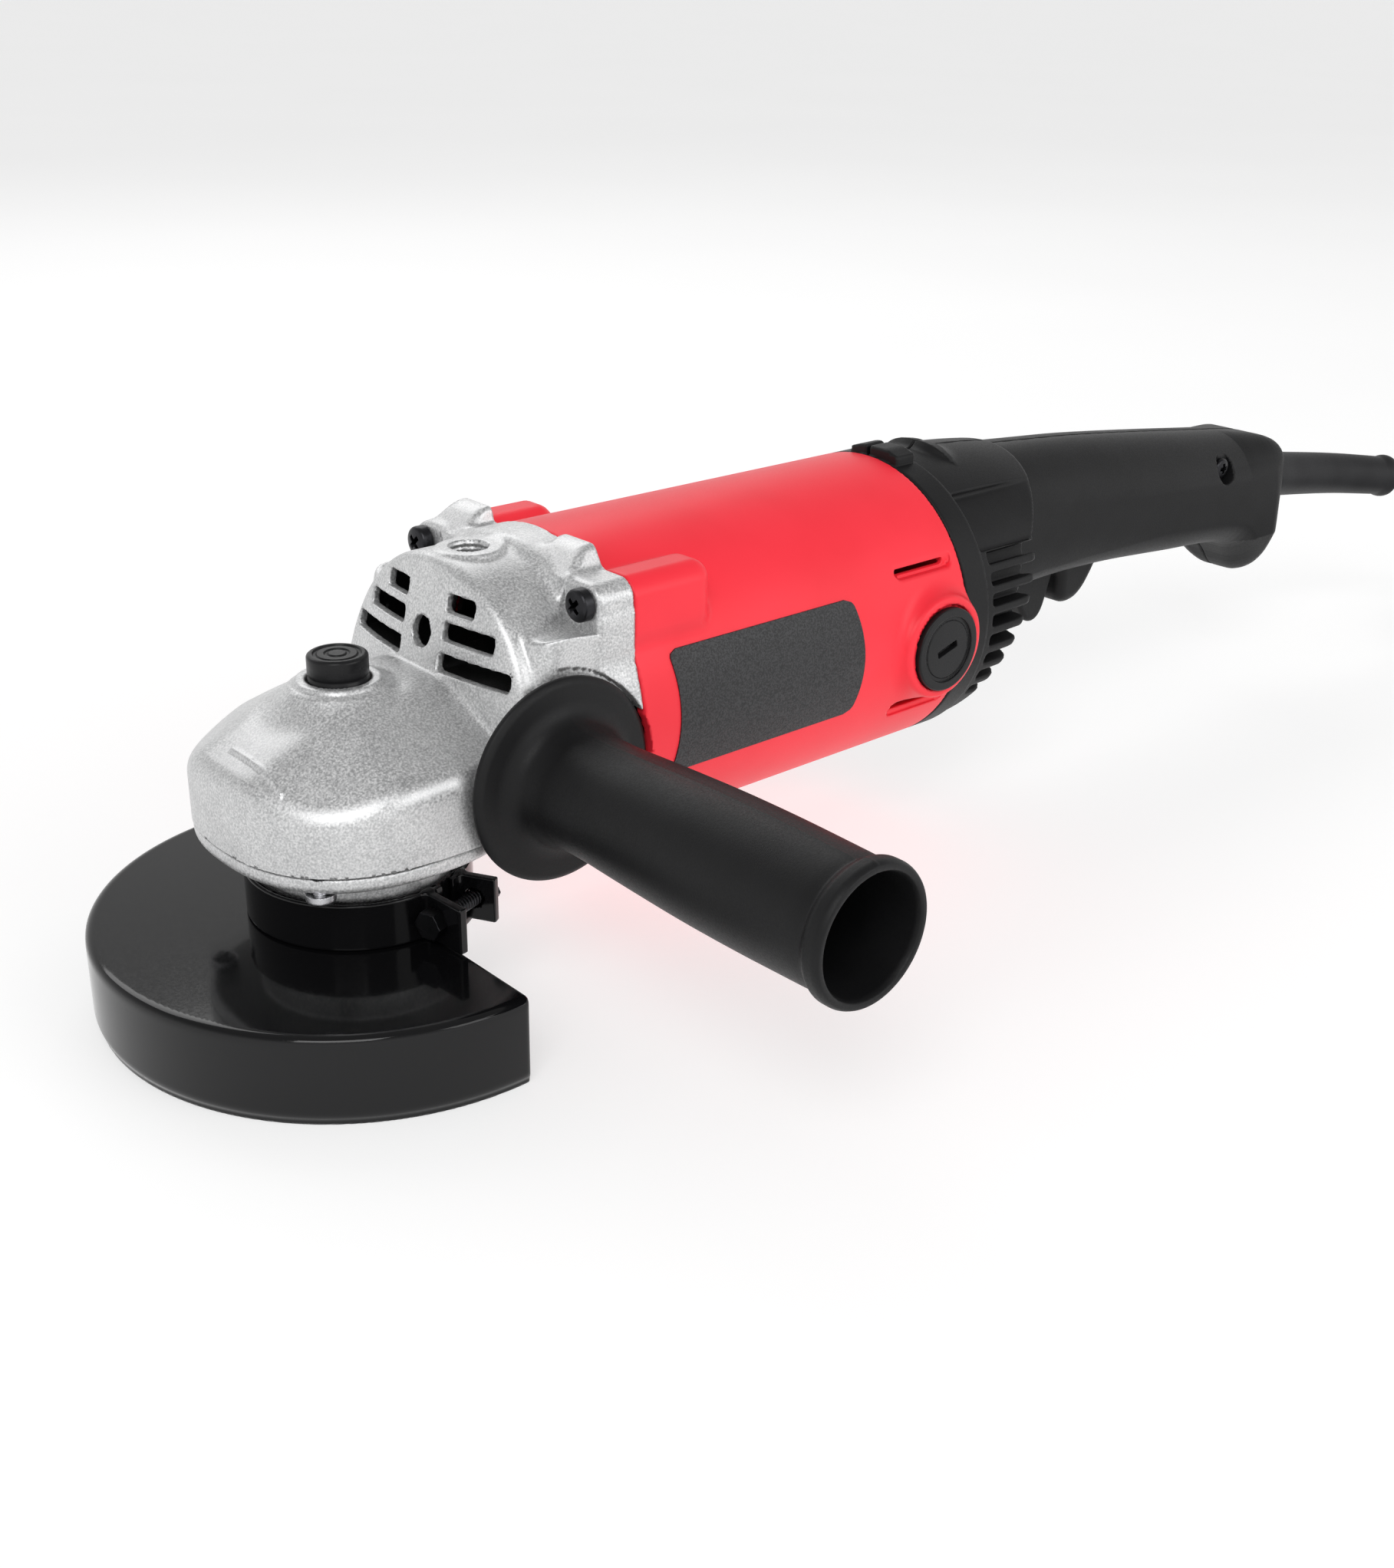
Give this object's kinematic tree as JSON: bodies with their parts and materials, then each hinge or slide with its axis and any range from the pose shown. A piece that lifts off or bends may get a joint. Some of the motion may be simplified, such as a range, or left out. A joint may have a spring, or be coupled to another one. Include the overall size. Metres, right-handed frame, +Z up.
{
  "type": "angle grinder",
  "caption": "Corded angle grinder with an open wheel guard, side handle, cylindrical motor housing and long trigger handle, its cord in a flat coil.",
  "frame": {"origin": "middle of the lower end face of the spindle, on the floor the guard's rim rests on", "axes": "+Z up along the spindle, +X from the gear head to the tail handle, -Y the side with the side handle"},
  "size_m": [0.6192, 0.2368, 0.112],
  "materials": {
    "cast_aluminium": "satin, fine sparkle",
    "steel": "satin",
    "dark_steel": "black oxide",
    "black_paint": "gloss",
    "black_plastic": "fine grain",
    "red_plastic": "satin",
    "label": "textured",
    "rubber": "matte",
    "copper": "varnished wire",
    "brass": "plain",
    "lamination": "plain",
    "carbon": "matt"
  },
  "bodies": {
    "housing": {"gear_housing": "cast_aluminium", "bearing_cover": "cast_aluminium", "cover_screw_1": "steel", "cover_screw_2": "steel", "cover_screw_3": "steel", "cover_screw_4": "steel", "housing_screw_1": "dark_steel", "housing_screw_2": "dark_steel", "housing_screw_3": "dark_steel", "housing_screw_4": "dark_steel", "lower_bearing": "steel", "upper_bush": "brass", "side_handle": "black_plastic", "handle_stud": "steel", "motor_housing": "red_plastic", "label_plate": "label", "brush_holder_left": "brass", "brush_holder_right": "brass", "carbon_brush_left": "carbon", "carbon_brush_right": "carbon", "brush_spring_left": "steel", "brush_spring_right": "steel", "brush_cap_left": "black_plastic", "brush_cap_right": "black_plastic", "stator_core": "lamination", "field_winding_front": "copper", "field_winding_rear": "copper", "fan_baffle": "black_plastic", "front_bearing": "steel", "rear_bearing": "steel", "handle_shell_left": "black_plastic", "handle_shell_right": "black_plastic", "trigger_pin": "steel", "switch_body": "black_plastic", "handle_screw": "dark_steel", "strain_relief": "rubber", "cord": "rubber", "cord_coil": "rubber", "plug": "rubber"},
    "armature": {"armature_shaft": "steel", "armature_core": "lamination", "armature_winding_front": "copper", "armature_winding_rear": "copper", "commutator": "copper", "fan": "black_plastic", "pinion": "dark_steel"},
    "spindle": {"spindle": "steel", "drive_gear": "dark_steel", "inner_flange": "steel", "lock_nut": "dark_steel"},
    "spindle_lock": {"lock_button": "black_plastic", "lock_pin": "steel", "lock_spring": "steel"},
    "guard": {"wheel_guard": "black_paint", "clamp_band": "black_paint", "clamp_bolt": "dark_steel", "clamp_nut": "dark_steel"},
    "trigger": {"trigger": "black_plastic"}
  },
  "joints": [
    {"name": "armature_spin", "type": "hinge", "parent": "housing", "child": "armature", "pos_m": [0, 0, 0.0665], "axis": [1, 0, 0], "continuous": true},
    {"name": "spindle_spin", "type": "hinge", "parent": "housing", "child": "spindle", "pos_m": [0, 0, 0], "axis": [0, 0, 1], "continuous": true},
    {"name": "lock_press", "type": "slide", "parent": "housing", "child": "spindle_lock", "axis": [0, 0, -1], "range_m": [0, 0.0036], "stiffness_N_per_m": 800, "springref_m": -0.005, "deforming": ["lock_spring"]},
    {"name": "guard_turn", "type": "hinge", "parent": "housing", "child": "guard", "pos_m": [0, 0, 0], "axis": [0, 0, 1], "range_deg": [-90, 90]},
    {"name": "trigger_pull", "type": "hinge", "parent": "housing", "child": "trigger", "pos_m": [0.24, 0, 0.072], "axis": [0, -1, 0], "range_deg": [0, 5.5], "stiffness_Nm_per_rad": 1, "springref_deg": -8.59}
  ],
  "couplings": [
    {"joint": "spindle_spin", "follows": "armature_spin", "ratio": 0.27027}
  ]
}
